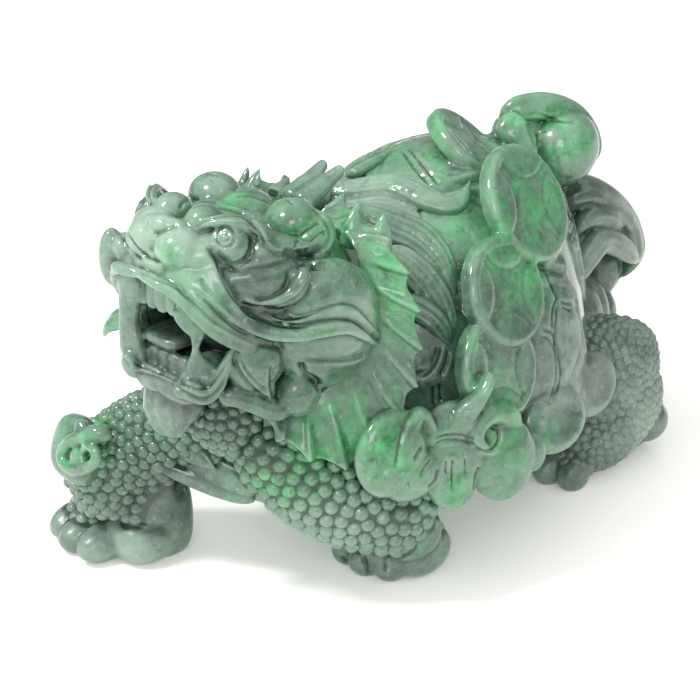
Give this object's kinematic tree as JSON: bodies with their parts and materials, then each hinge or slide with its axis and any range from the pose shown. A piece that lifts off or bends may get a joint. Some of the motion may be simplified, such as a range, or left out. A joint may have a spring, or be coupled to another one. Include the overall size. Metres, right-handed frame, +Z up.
{
  "type": "dragon turtle figure",
  "caption": "Carved stone dragon turtle standing on its paws, with an open-jawed dragon's head, a plated shell, coins and a cloud-shaped sceptre head on its flank, and a bushy tail.",
  "frame": {"origin": "middle of the figure's box, on the plane that its four soles stand on", "axes": "+Z up; the dragon looks along -Y, so +Y runs back from the lips to the tail; +X is its left side, the side with the coins"},
  "size_m": [0.0904, 0.159, 0.0903],
  "materials": {
    "jade": "polished"
  },
  "bodies": {
    "root": {"dragon_turtle": "jade"}
  },
  "joints": []
}
